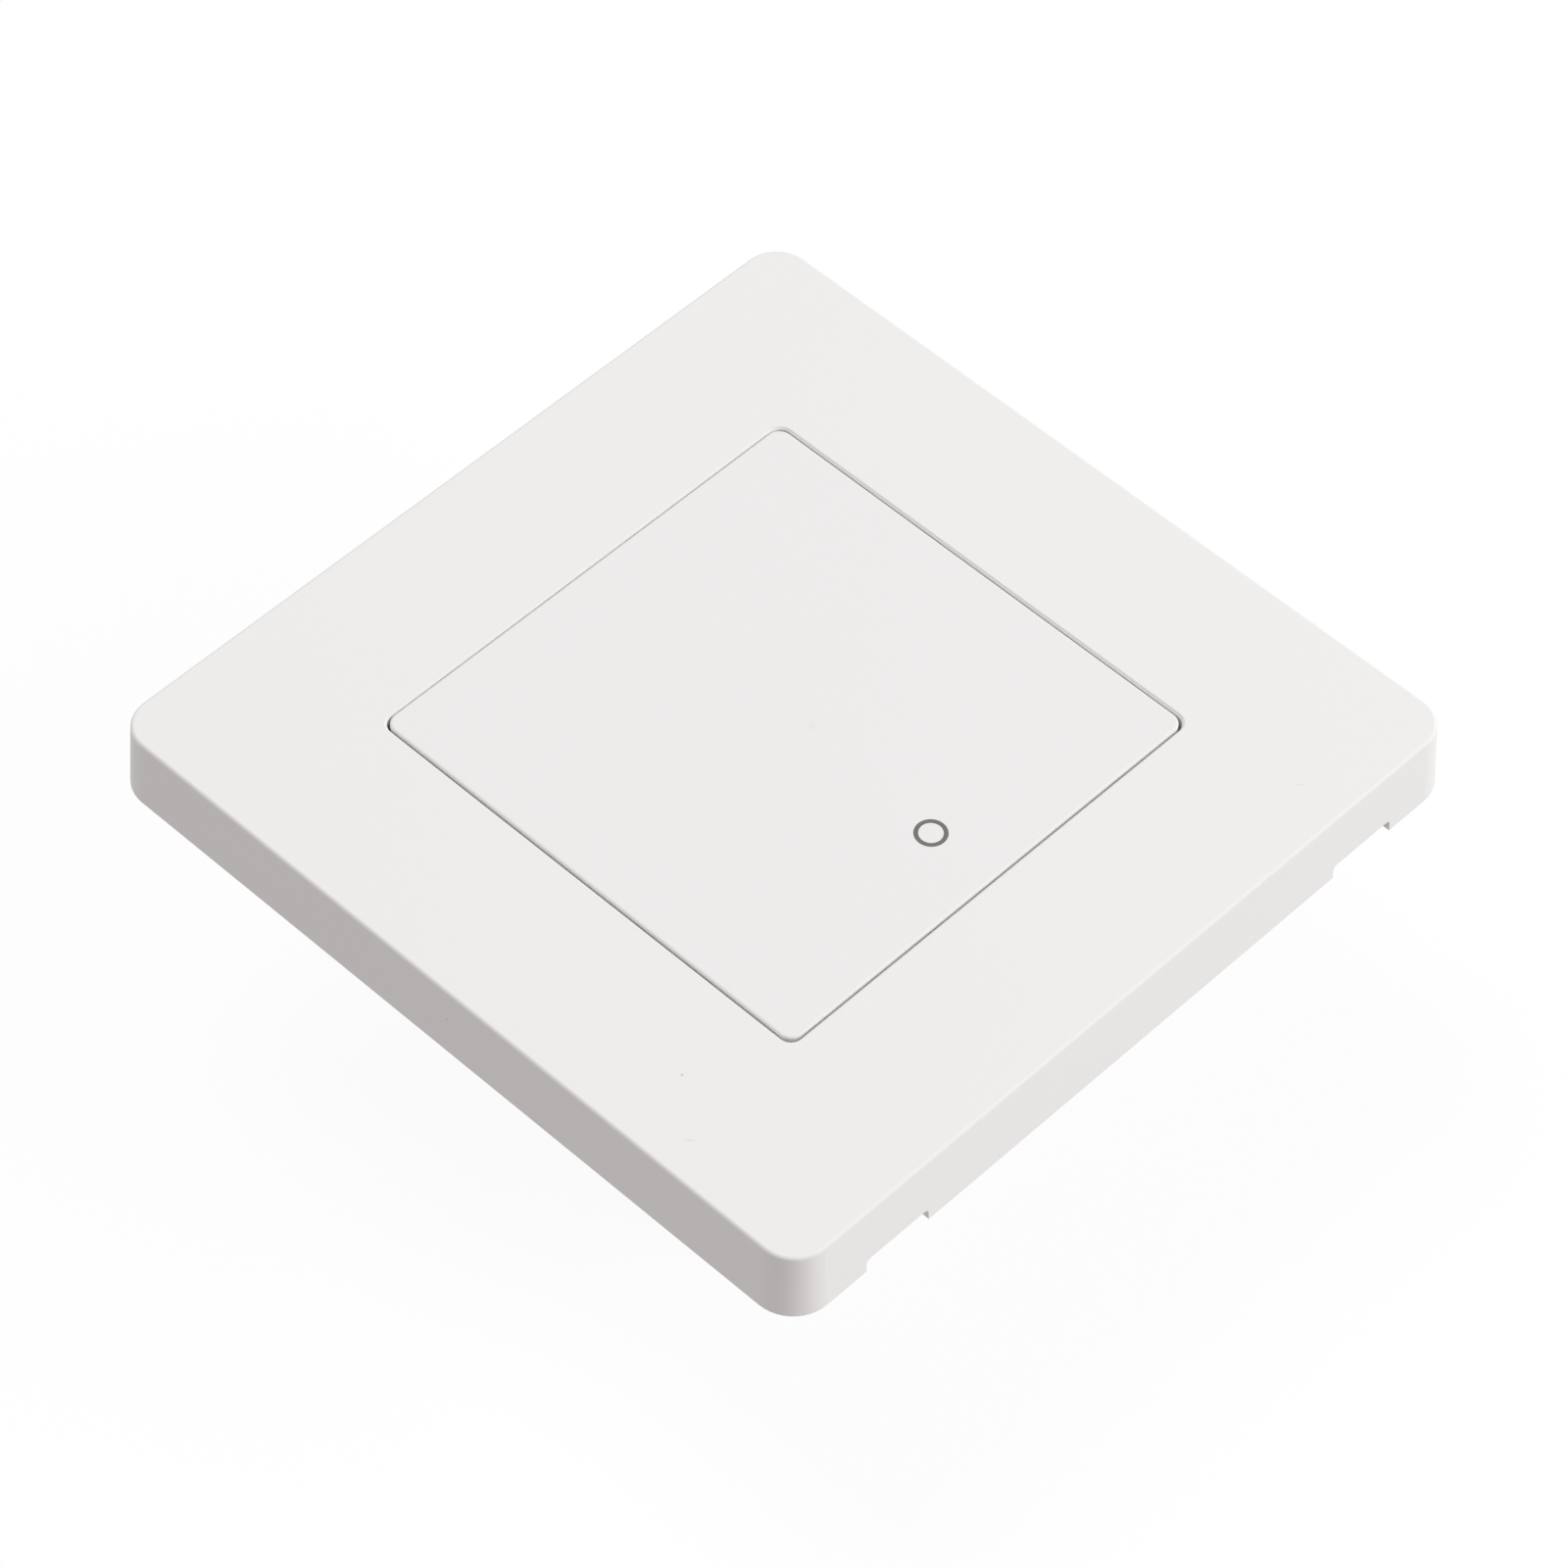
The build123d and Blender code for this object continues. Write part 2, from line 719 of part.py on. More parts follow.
def power_board():
    """Rear board that carries the relay, the supply and the terminals."""
    board = cut_block(board_side, power_under_z, power_top_z)
    hole = lead_side + 2 * lead_hole_fit
    board -= [slab(hole, hole, power_under_z, power_top_z, x, y) for x, y in power_leads()]
    board -= link_row(link_pin_side + 2 * link_pin_fit, power_under_z, power_top_z)
    tail_width = clamp_tail_width + 2 * clamp_fit
    tail_thickness = clamp_tail_thickness + 2 * clamp_fit
    tail_slot = slab(tail_width, tail_thickness, power_under_z, power_top_z, y=clamp_y)
    return board - [Pos(x, 0, 0) * tail_slot for x in terminal_places]


def boxed_part(size, place):
    """Boxed part under the power board, with its far edges broken."""
    size_x, size_y, height = size
    case = slab(size_x, size_y, power_under_z - height, power_under_z, *place)
    return chamfer(case.faces().sort_by(Axis.Z)[0].edges(), box_edge)


def relay():
    """Sealed relay."""
    size = (relay_length, relay_width, power_under_z - floor_z - relay_floor_gap)
    return boxed_part(size, relay_place) + leads(relay_leads())


def can_capacitor(radius, height, place):
    """Electrolytic capacitor: an aluminium can on two leads."""
    can = rod(radius, power_under_z - height, power_under_z, *place)
    return can + leads(lead_pair(capacitor_lead_spacing, place))


def input_capacitor():
    """Smoothing capacitor on the mains side."""
    return can_capacitor(input_capacitor_radius, input_capacitor_height, input_capacitor_place)


def output_capacitor():
    """Smoothing capacitor on the low-voltage side."""
    return can_capacitor(output_capacitor_radius, output_capacitor_height, output_capacitor_place)


def inductor():
    """Moulded power inductor with cut corners."""
    x, y = inductor_place
    body = slab(inductor_side, inductor_side, power_under_z - inductor_height, power_under_z, x, y)
    body = chamfer(body.edges().filter_by(Axis.Z), inductor_edge)
    return body + leads(lead_pair(inductor_lead_spacing, inductor_place))


def varistor():
    """Dipped disc on two leads."""
    x, y = varistor_place
    centre_z = power_under_z - varistor_stand - varistor_radius
    disc = extrude(Plane.XZ * Circle(varistor_radius), amount=varistor_thickness / 2, both=True)
    disc = Pos(x, y, centre_z) * disc
    return disc + leads(lead_pair(varistor_lead_spacing, varistor_place), centre_z)


def fuse():
    """Boxed fuse on two leads."""
    return boxed_part(fuse_size, fuse_place) + leads(lead_pair(fuse_lead_spacing, fuse_place))


def chip(size, place, count, pitch):
    """Small surface-mounted package with rows of leads on two sides."""
    size_x, size_y, height = size
    low = power_under_z - height
    body = slab(size_x, size_y, low, power_under_z - chip_lead_thickness, *place)
    body = chamfer(body.faces().sort_by(Axis.Z)[0].edges(), chip_lead_thickness)
    reach = size_y + 2 * chip_lead_reach
    for i in range(count):
        x = place[0] + pitch * (i - (count - 1) / 2)
        body += slab(chip_lead_width, reach, power_under_z - chip_lead_thickness, power_under_z, x, place[1])
    return body


def rectifier():
    """Bridge rectifier."""
    return chip(rectifier_size, rectifier_place, rectifier_lead_count, rectifier_lead_pitch)


def converter_chip():
    """Step-down converter."""
    return chip(converter_size, converter_place, converter_lead_count, converter_lead_pitch)


def terminal_block():
    """Moulded block with a chamber for each clamp, a well for its screw and a slot for its tail."""
    low = floor_z + fit_clearance
    middle_y = (block_front_y + block_back_y) / 2
    block = slab(terminal_block_width, terminal_block_depth, low, power_under_z, y=middle_y)
    chamber_depth = clamp_inset + clamp_length + clamp_fit
    chamber_y = block_front_y + chamber_depth / 2
    chamber_low = clamp_z - chamber_side / 2
    tail_width = clamp_tail_width + 2 * clamp_fit
    tail_thickness = clamp_tail_thickness + 2 * clamp_fit
    well = 2 * driver_hole_radius
    for x in terminal_places:
        block -= slab(chamber_side, chamber_depth, chamber_low, chamber_low + chamber_side, x, chamber_y)
        block -= slab(well, well, low, clamp_z, x, clamp_y)
        block -= slab(tail_width, tail_thickness, clamp_z, power_under_z, x, clamp_y)
    return block


def terminal_clamps():
    """Brass box clamps, each with a solder tail through the power board."""
    half = clamp_side / 2
    bore = clamp_side - 2 * clamp_wall
    box = slab(clamp_side, clamp_length, clamp_z - half, clamp_z + half, y=clamp_y)
    box -= slab(bore, clamp_length, clamp_z - bore / 2, clamp_z + bore / 2, y=clamp_y)
    box -= rod(clamp_screw_radius + running_clearance, clamp_z - half, clamp_z, y=clamp_y)
    tail_top = power_top_z + lead_overhang
    box += slab(clamp_tail_width, clamp_tail_thickness, clamp_z + half, tail_top, y=clamp_y)
    return Part() + [Pos(x, 0, 0) * box for x in terminal_places]


def terminal_screws():
    """Slotted clamp screws that face the back."""
    head_end = clamp_screw_z - clamp_screw_head_height
    screw = rod(clamp_screw_head_radius, head_end, clamp_screw_z)
    screw += rod(clamp_screw_radius, clamp_screw_z, clamp_screw_z + clamp_screw_length)
    slot_depth = clamp_screw_head_height / 2
    screw -= slab(clamp_screw_slot_length, clamp_screw_slot_width, head_end, head_end + slot_depth)
    return Part() + [Pos(x, clamp_y, 0) * screw for x in terminal_places]


def rear_housing():
    """Drafted box with snap windows, a terminal bay with fins, board rests and latches."""
    outer = cut_block(housing_side, back_z, housing_rebate, housing_draft)
    outer = chamfer(outer.faces().sort_by(Axis.Z)[0].edges(), housing_edge)
    housing = outer - cut_block(housing_inner_side, floor_z, housing_rebate, housing_draft)
    housing += board_supports(outer)

    liner_depth = bay_depth + bay_wall
    liner_width = bay_width + 2 * bay_wall
    liner_y = liner_depth / 2 - housing_side / 2
    housing += slab(liner_width, liner_depth, back_z, bay_roof_z + bay_wall, y=liner_y) & outer
    bay_y = bay_depth / 2 - housing_side / 2
    housing -= slab(bay_width, bay_depth, back_z, bay_roof_z, y=bay_y)
    fin_places = [(a + b) / 2 for a, b in zip(terminal_places, terminal_places[1:])]
    housing += [slab(fin_thickness, bay_depth, back_z, bay_roof_z, x, bay_y) & outer for x in fin_places]

    half_window = wire_window_side / 2
    window_y = bay_back_y + bay_wall / 2
    for x in terminal_places:
        housing -= slab(wire_window_side, bay_wall, clamp_z - half_window, clamp_z + half_window, x, window_y)
        housing -= rod(driver_hole_radius, back_z, floor_z, x, clamp_y)
    window_low = housing_snap_top_z - housing_snap_height - housing_snap_play
    snap_window = slab(
        housing_snap_width + 2 * housing_snap_play,
        2 * (housing_wall + cut_margin),
        window_low,
        housing_snap_top_z + housing_snap_play,
        y=housing_side / 2,
    )
    return housing - [Rot(0, 0, turn) * snap_window for turn in quarter_turns]


def board_supports(outer):
    """Ribs on the side walls that carry the power board, each with a latch nose above it."""
    reach = board_side / 2 - board_rest_overlap
    wall_x = housing_side / 2
    rest_width = wall_x - reach
    rest_x = (wall_x + reach) / 2
    nose = [
        (reach, power_top_z + fit_clearance),
        (wall_x, power_top_z + fit_clearance),
        (wall_x, power_top_z + fit_clearance + board_latch_height),
        (board_side / 2, power_top_z + fit_clearance + board_latch_height),
    ]
    supports = Part()
    for y in (-board_rest_y, board_rest_y):
        rest = slab(rest_width, board_rest_width, back_z, power_under_z, rest_x, y)
        latch = extrude(Plane.XZ * Polygon(*nose, align=None), amount=board_rest_width / 2, both=True)
        supports += both_sides((rest + Pos(0, y, 0) * latch) & outer)
    return supports


pieces = [
    front_frame,
    push_key,
    indicator_ring,
    key_springs,
    mounting_chassis,
    control_board,
    tact_base,
    tact_cover,
    tact_plunger,
    tact_leads,
    status_led,
    radio_board,
    radio_shield,
    link_socket,
    link_base,
    link_pins,
    power_board,
    relay,
    input_capacitor,
    output_capacitor,
    inductor,
    varistor,
    fuse,
    rectifier,
    converter_chip,
    terminal_block,
    terminal_clamps,
    terminal_screws,
    rear_housing,
]

os.makedirs("parts", exist_ok=True)
for piece in pieces:
    export_step(piece(), f"parts/{piece.__name__}.step")
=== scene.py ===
# %% [markdown]
# # A smart light switch, dressed for its portrait
# The solid parts of this wall switch come from a CAD model: a white cover plate, a large push key
# with a small ring light, and behind them the chassis, the boards and the terminals. This lesson
# gives every part a finish, adds the one part that bends, and sets the camera, the light and the floor.
# All lengths are in metres. The wall is the plane z = 0, +Z points out of it and +Y points up.

# %% Load the CAD frame
import json
import math
import bpy
import numpy as np
from mathutils import Matrix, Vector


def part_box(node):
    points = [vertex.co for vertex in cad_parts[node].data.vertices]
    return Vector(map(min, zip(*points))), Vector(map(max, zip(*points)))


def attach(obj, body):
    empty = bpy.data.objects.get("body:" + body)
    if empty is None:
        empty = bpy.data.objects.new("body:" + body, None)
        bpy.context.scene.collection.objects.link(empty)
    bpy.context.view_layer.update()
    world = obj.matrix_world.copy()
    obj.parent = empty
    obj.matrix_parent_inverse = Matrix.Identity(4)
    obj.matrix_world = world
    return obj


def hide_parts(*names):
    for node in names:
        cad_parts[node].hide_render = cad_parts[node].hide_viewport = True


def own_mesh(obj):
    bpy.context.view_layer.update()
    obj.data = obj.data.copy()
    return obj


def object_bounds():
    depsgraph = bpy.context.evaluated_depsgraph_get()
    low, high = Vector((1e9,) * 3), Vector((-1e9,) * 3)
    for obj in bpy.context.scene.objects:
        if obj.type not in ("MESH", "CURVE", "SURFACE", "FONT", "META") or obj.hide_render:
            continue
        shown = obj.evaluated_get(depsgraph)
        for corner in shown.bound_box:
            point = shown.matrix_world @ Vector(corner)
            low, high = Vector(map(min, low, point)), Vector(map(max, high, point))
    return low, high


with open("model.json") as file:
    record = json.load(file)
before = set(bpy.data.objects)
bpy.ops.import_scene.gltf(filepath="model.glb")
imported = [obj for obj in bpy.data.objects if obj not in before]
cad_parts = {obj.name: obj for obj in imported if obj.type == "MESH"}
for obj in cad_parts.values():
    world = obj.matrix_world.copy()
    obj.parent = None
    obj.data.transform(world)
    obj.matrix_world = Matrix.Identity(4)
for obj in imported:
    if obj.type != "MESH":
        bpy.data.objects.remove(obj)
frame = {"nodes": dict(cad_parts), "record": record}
nodes = frame["nodes"]
cad_low, cad_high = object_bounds()
mm = 0.001
print("CAD nodes:", len(nodes), "box", [round(v / mm, 1) for v in cad_high - cad_low], "mm")

# %% [markdown]
# ## Shader arithmetic
# A material is a graph of nodes, and drawing it by hand hides the sums in it. The small class below
# holds one socket and lets Python's own operators add the Math nodes, so that a line such as
# `0.4 + 0.1 * grain` reads like the formula that it is. Its method `node` adds any other node:
# the node's settings come first, then the values or links of its sockets.

# %% A value on its way through a material
class Strand:
    """One socket of a material, with the arithmetic of Math nodes as operators."""

    def __init__(self, tree, socket=None):
        self.tree = tree
        self.socket = socket

    def node(self, kind, settings=None, inputs=None, out=0):
        """Add a node, set it up, feed its sockets, and give back one of its outputs."""
        made = self.tree.nodes.new("ShaderNode" + kind)
        for name, value in (settings or {}).items():
            setattr(made, name, value)
        for name, value in (inputs or {}).items():
            if isinstance(value, Strand):
                self.tree.links.new(value.socket, made.inputs[name])
            else:
                made.inputs[name].default_value = value
        return Strand(self.tree, made.outputs[out] if made.outputs else None)

    def maths(self, operation, *values):
        """A Math node on two values."""
        return self.node("Math", {"operation": operation}, dict(enumerate(values)))

    def __add__(self, other):
        return self.maths("ADD", self, other)

    def __sub__(self, other):
        return self.maths("SUBTRACT", self, other)

    def __rsub__(self, other):
        return self.maths("SUBTRACT", other, self)

    def __mul__(self, other):
        return self.maths("MULTIPLY", self, other)

    def __gt__(self, other):
        return self.maths("GREATER_THAN", self, other)

    __radd__ = __add__
    __rmul__ = __mul__


def new_material(name):
    """An empty material and the Strand that starts its graph."""
    material = bpy.data.materials.new(name)
    material.use_nodes = True
    material.node_tree.nodes.clear()
    return material, Strand(material.node_tree)


print("shader arithmetic ready:", Strand.__name__)

# %% [markdown]
# ## Ingredients that all finishes share
# Even a plain moulding isn't one flat colour. Its shade drifts a little over centimetres and its
# gloss changes over tenths of a millimetre. A painted image could hold both, but it would need the
# part unwrapped. Here they come from noise read at Object coordinates, so that the pattern is fixed
# to the part and doesn't slide when the part moves.

# %% Noise, colour drift and the finished surface
def noise(start, size, detail=2.0, stretch=(1.0, 1.0, 1.0)):
    """Noise from 0 to 1 with features of about this size, drawn out along an axis of small stretch."""
    place = start.node("TexCoord", out="Object")
    place = start.node("Mapping", {}, {"Vector": place, "Scale": stretch})
    return start.node("TexNoise", {}, {"Vector": place, "Scale": 1 / size, "Detail": detail})


def drift(start, colour, share, factor):
    """The colour, darkened by up to this share where the factor is low."""
    dark = [c * (1 - share) for c in colour] + [1.0]
    light = list(colour) + [1.0]
    return start.node("Mix", {"data_type": "RGBA"}, {"Factor": factor, 6: dark, 7: light}, out=2)


def relief(start, height, depth, strength=1.0):
    """A bump of this depth from a height of 0 to 1."""
    return start.node("Bump", {}, {"Strength": strength, "Distance": depth, "Height": height})


def surface(start, **sockets):
    """Close the graph with a Principled surface whose sockets are named with underscores."""
    inputs = {name.replace("_", " "): value for name, value in sockets.items()}
    shader = start.node("BsdfPrincipled", {}, inputs)
    start.node("OutputMaterial", {}, {"Surface": shader})


print("ingredients: noise, drift, relief, surface")

# %% [markdown]
# ## Handling marks
# The plate isn't spotless: it has a speck of dust, two short scuffs and a dark spot on its left wall,
# and the key has a faint smudge. They could be painted on an image too, but that would have to be very
# fine. Instead each is a small ellipsoid in space, and the colour turns to dust grey where the surface
# passes through it. The scuffs lie at a slant, so their ellipsoids are turned about Z.

# %% Marks on the plate and the key
dust_grey = (0.30, 0.29, 0.27)
scuff_turn = math.radians(-47)


def mark(start, middle, half_sizes, turn=0.0):
    """1 at the middle of an ellipsoid and 0 from its surface on: 1 - |p|, p in units of its half sizes."""
    place = start.node("TexCoord", out="Object")
    ellipsoid = {
        "Vector": place,
        "Location": [v * mm for v in middle],
        "Rotation": (0.0, 0.0, turn),
        "Scale": [v * mm for v in half_sizes],
    }
    local = start.node("Mapping", {"vector_type": "TEXTURE"}, ellipsoid)
    distance = start.node("VectorMath", {"operation": "LENGTH"}, {0: local}, out="Value")
    return start.maths("MAXIMUM", 1 - distance, 0.0)


face_mm = cad_high.z / mm
# Each mark: strength, middle and half sizes in mm, and its turn
plate_marks = [
    (0.55, (-34.44, -21.17, face_mm), (0.2, 0.2, 0.2)),
    (0.22, (-38.9, -26.5, face_mm), (0.65, 0.15, 0.2), scuff_turn),
    (0.16, (27.2, -37.5, face_mm), (0.5, 0.14, 0.2), scuff_turn),
    (0.35, (-42.9, -0.65, 4.3), (1.0, 0.22, 0.22)),
]
key_marks = [(0.08, (1.35, -1.97, face_mm), (0.65, 0.6, 0.3))]
print("marks:", len(plate_marks) + len(key_marks))

# %% [markdown]
# ## Moulded plastics
# The plate and the key are white plastic from a finely etched mould: matt, with hardly any sheen, and
# no grain that the eye can make out from half a metre. Such grain is too fine to model, so a shallow
# bump stands for it. The same recipe, with other colours and coarser grain, serves the chassis, the
# rear housing and the small black mouldings.

# %% Moulded plastic
cloud_size = 15 * mm
skin_gloss = 0.12


def moulded_plastic(name, colour, roughness=0.7, grain=0.12 * mm, depth=0.0004 * mm, tone=0.02, marks=()):
    """Colour that drifts in wide clouds under any marks, gloss and relief that follow a fine grain."""
    material, start = new_material(name)
    cloud = noise(start, cloud_size)
    pores = noise(start, grain)
    shade = drift(start, colour, tone, cloud)
    for strength, *place in marks:
        soil = {"Factor": strength * mark(start, *place), 6: shade, 7: (*dust_grey, 1)}
        shade = start.node("Mix", {"data_type": "RGBA"}, soil, out=2)
    surface(
        start,
        Base_Color=shade,
        Roughness=(roughness - 0.04) + 0.05 * pores + 0.03 * cloud,
        Normal=relief(start, pores, depth),
        Specular_IOR_Level=skin_gloss,
    )
    return material


finishes = {
    "white_plate": moulded_plastic("white_plate", (0.845, 0.83, 0.82), tone=0.006, marks=plate_marks),
    "white_key": moulded_plastic("white_key", (0.838, 0.817, 0.815), tone=0.006, marks=key_marks),
    "chassis_plastic": moulded_plastic("chassis_plastic", (0.72, 0.715, 0.69), grain=0.2 * mm),
    "housing_plastic": moulded_plastic("housing_plastic", (0.76, 0.755, 0.73), grain=0.2 * mm),
    "black_moulding": moulded_plastic("black_moulding", (0.022, 0.022, 0.024), tone=0.2),
    "relay_case": moulded_plastic("relay_case", (0.02, 0.07, 0.26), roughness=0.42, tone=0.1),
    "inductor_body": moulded_plastic("inductor_body", (0.07, 0.07, 0.075), roughness=0.7, tone=0.3),
    "fuse_case": moulded_plastic("fuse_case", (0.12, 0.06, 0.03), tone=0.15),
    "terminal_moulding": moulded_plastic("terminal_moulding", (0.07, 0.075, 0.08), tone=0.15),
    "capacitor_sleeve": moulded_plastic("capacitor_sleeve", (0.03, 0.033, 0.045), roughness=0.35, tone=0.1),
}
print("moulded plastics:", len(finishes))

# %% [markdown]
# ## Clear and dipped parts
# The ring light is a smoked light guide: while it is off it looks plain grey and almost matt. The lamp
# under it is a drop of resin, and the varistor is dipped in lacquer. Real transmission would cost
# render time and show little in such small pieces, so a coat over a coloured base gives all three.

# %% Coated resin
def coated_resin(name, colour, roughness, coat, gloss=0.5, tone=0.12):
    """A coloured body under a clear coat, with slight clouds in the colour."""
    material, start = new_material(name)
    cloud = noise(start, 0.8 * mm)
    surface(
        start,
        Base_Color=drift(start, colour, tone, cloud),
        Roughness=(roughness - 0.03) + 0.06 * cloud,
        Specular_IOR_Level=gloss,
        Coat_Weight=coat,
        Coat_Roughness=0.12,
    )
    return material


finishes["smoked_guide"] = coated_resin("smoked_guide", (0.177, 0.171, 0.165), 0.55, 0.03, gloss=0.2)
finishes["lamp_resin"] = coated_resin("lamp_resin", (0.78, 0.70, 0.38), 0.25, 0.6)
finishes["varistor_coat"] = coated_resin("varistor_coat", (0.02, 0.06, 0.30), 0.35, 0.5)
print("finishes so far:", len(finishes))

# %% [markdown]
# ## Metals
# Sheet and strip are rolled, so their fine scratches run one way. An anisotropic shader would give the
# streaked shine alone. Noise that is stretched along the rolling direction gives the scratches too, in
# the gloss and in a shallow relief.

# %% Rolled metal
def rolled_metal(name, colour, roughness, rolling=(1.0, 0.05, 1.0)):
    """Metal with scratches drawn out along the axis where rolling is small."""
    material, start = new_material(name)
    scratches = noise(start, 0.08 * mm, stretch=rolling)
    tarnish = noise(start, 4 * mm)
    surface(
        start,
        Base_Color=drift(start, colour, 0.12, tarnish),
        Metallic=1.0,
        Roughness=(roughness - 0.08) + 0.12 * scratches + 0.05 * tarnish,
        Normal=relief(start, scratches, 0.002 * mm, 0.4),
    )
    return material


finishes["spring_steel"] = rolled_metal("spring_steel", (0.50, 0.50, 0.49), 0.32)
finishes["tinned_steel"] = rolled_metal("tinned_steel", (0.62, 0.61, 0.58), 0.36, (0.05, 1.0, 1.0))
finishes["screw_steel"] = rolled_metal("screw_steel", (0.56, 0.55, 0.53), 0.34, (1.0, 1.0, 0.05))
finishes["clamp_brass"] = rolled_metal("clamp_brass", (0.62, 0.42, 0.15), 0.34)
finishes["gold_pins"] = rolled_metal("gold_pins", (0.80, 0.55, 0.18), 0.28, (1.0, 1.0, 0.05))
print("finishes so far:", len(finishes))

# %% [markdown]
# ## Circuit boards
# A board is glass laminate under green resist. Copper tracks under the resist show as paler lines
# that run in steps. Two sets of stripes, each shown in some cells of a coarse grid only, give that look
# without drawing a single track.

# %% Board laminate
def board_laminate(name, bare, copper):
    """Green resist with paler, slightly raised stripes along X in some cells and along Y in others."""
    material, start = new_material(name)
    place = start.node("TexCoord", out="Object")
    grid = {"Vector": place, "Scale": 1 / (6 * mm)}
    cells = start.node("TexVoronoi", {"distance": "CHEBYCHEV"}, grid, out=1)
    pick = start.node("SeparateColor", {}, {0: cells})
    bands = {"Vector": place, "Scale": 1 / (8 * mm)}
    stripes = {way: start.node("TexWave", {"bands_direction": way}, bands, out=1) for way in ("X", "Y")}
    along_x = (stripes["Y"] > 0.6) * (pick > 0.62)
    along_y = (stripes["X"] > 0.6) * (0.38 - pick > 0.0)
    tracks = along_x + along_y
    weave = noise(start, 0.3 * mm)
    resist = {"Factor": tracks, 6: (*bare, 1), 7: (*copper, 1)}
    green = start.node("Mix", {"data_type": "RGBA"}, resist, out=2)
    surface(
        start,
        Base_Color=green,
        Roughness=0.36 + 0.1 * weave - 0.06 * tracks,
        Normal=relief(start, tracks, 0.03 * mm),
    )
    return material


finishes["board_laminate"] = board_laminate("board_laminate", (0.006, 0.055, 0.018), (0.02, 0.13, 0.045))
print("finishes:", len(finishes))

# %% [markdown]
# ## Dressing the parts
# The CAD record names a material slot for every node. Each finish above has the name of its slot, so one
# loop dresses all the parts, and none has to be picked by hand.

# %% Put each finish on the nodes of its slot
for part in frame["record"]["subparts"]:
    dressed = nodes[part["node"]].data
    dressed.materials.clear()
    dressed.materials.append(finishes[part["material_slot"]])

# %% [markdown]
# ## The leaf springs
# Two stamped steel leaves push the key back out. They bend at each press, and a rigid solid would cut
# into the key. This piece replaces the CAD node with a strip in its rest shape, which doesn't bend as
# the key pivots. A strip is easy to compute: a centre line in the YZ plane carries a small rounded
# rectangle along it.

# %% Strip along a bent line
def rounded_section(width, thickness, radius, count=4):
    """Rounded rectangle about the origin: four quarter circles of `count` steps, one at each corner."""
    turn = np.linspace(0, np.pi / 2, count)
    quarter = np.arange(4)[:, None] * np.pi / 2 + turn
    side_x = np.array([1, -1, -1, 1])[:, None] * (width / 2 - radius)
    side_z = np.array([1, 1, -1, -1])[:, None] * (thickness / 2 - radius)
    corner_x = side_x + radius * np.cos(quarter)
    corner_z = side_z + radius * np.sin(quarter)
    return np.stack([corner_x, corner_z], axis=-1).reshape(-1, 2)


def swept_strip(line_y, line_z, section, x):
    """Carry the section along the line: its width goes across, and its height along the line's normal."""
    slope_y, slope_z = np.gradient(line_y), np.gradient(line_z)
    length = np.hypot(slope_y, slope_z)
    normal_y, normal_z = slope_z / length, -slope_y / length
    across, up = section.T
    grid_x = np.broadcast_to(x + across, (len(line_y), len(across)))
    grid_y = line_y[:, None] + normal_y[:, None] * up
    grid_z = line_z[:, None] + normal_z[:, None] * up
    return np.stack([grid_x, grid_y, grid_z], axis=-1)


def closed_tube(grids):
    """Points and faces of tubes with flat ends: quads between neighbouring rings, a polygon at each end."""
    points, faces, first = [], [], 0
    for grid in grids:
        rings, around = grid.shape[:2]
        index = first + np.arange(rings * around).reshape(rings, around)
        beside = np.roll(index, -1, axis=1)
        quads = np.stack([index[:-1], beside[:-1], beside[1:], index[1:]], axis=-1).reshape(-1, 4)
        faces += quads.tolist() + [index[0, ::-1].tolist(), index[-1].tolist()]
        points.append(grid.reshape(-1, 3))
        first += rings * around
    return np.concatenate(points), faces


spring_low, spring_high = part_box("key_springs")
spring_width, spring_thickness = 4.0 * mm, 0.25 * mm
foot_length, pad_length, tip_drop = 5.0 * mm, 1.6 * mm, 1.0 * mm
foot_z = spring_low.z + spring_thickness / 2
pad_z = spring_high.z - spring_thickness / 2
print("springs rise", round((pad_z - foot_z) / mm, 2), "mm")

# %% Build the pair
def spring_line(steps=80):
    """Flat foot, an arm that rises on half a cosine wave, a flat pad, and a tip down on a parabola."""
    y = np.linspace(spring_high.y, spring_low.y + spring_thickness / 2, steps)
    arm_start = spring_high.y - foot_length
    arm_end = spring_low.y + tip_drop + pad_length
    rise = np.clip((arm_start - y) / (arm_start - arm_end), 0, 1)
    tip = np.clip((arm_end - pad_length - y) / tip_drop, 0, 1)
    return y, foot_z + (pad_z - foot_z) * (1 - np.cos(np.pi * rise)) / 2 - tip_drop * tip**2


strip_section = rounded_section(spring_width, spring_thickness, 0.08 * mm)
spring_x = spring_high.x - spring_width / 2
leaves = [swept_strip(*spring_line(), strip_section, x) for x in (-spring_x, spring_x)]
leaf_points, leaf_faces = closed_tube(leaves)
leaf_mesh = bpy.data.meshes.new("leaf_springs")
leaf_mesh.from_pydata(leaf_points, [], leaf_faces)
leaf_mesh.shade_smooth()
leaf_mesh.materials.append(finishes["spring_steel"])
leaf_springs = bpy.data.objects.new("leaf_springs", leaf_mesh)
bpy.context.scene.collection.objects.link(leaf_springs)
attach(leaf_springs, "base")
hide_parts("key_springs")
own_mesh(leaf_springs)
print("leaf springs:", len(leaf_faces), "faces")

# %% [markdown]
# ## Camera
# The portrait looks down on the switch from beyond its near corner with a long lens. The angles and the
# focal length, in pixels of the 1600 pixel picture, come from fitting the plate's outline.

# %% Camera at the portrait's angle
picture_side = 1600
focal_px = 6570
px_per_m = 11.38 / mm
face_centre_px = (801.17, 737.2)
yaw, tilt, roll = (math.radians(a) for a in (-46.796, 50.789, 1.32))


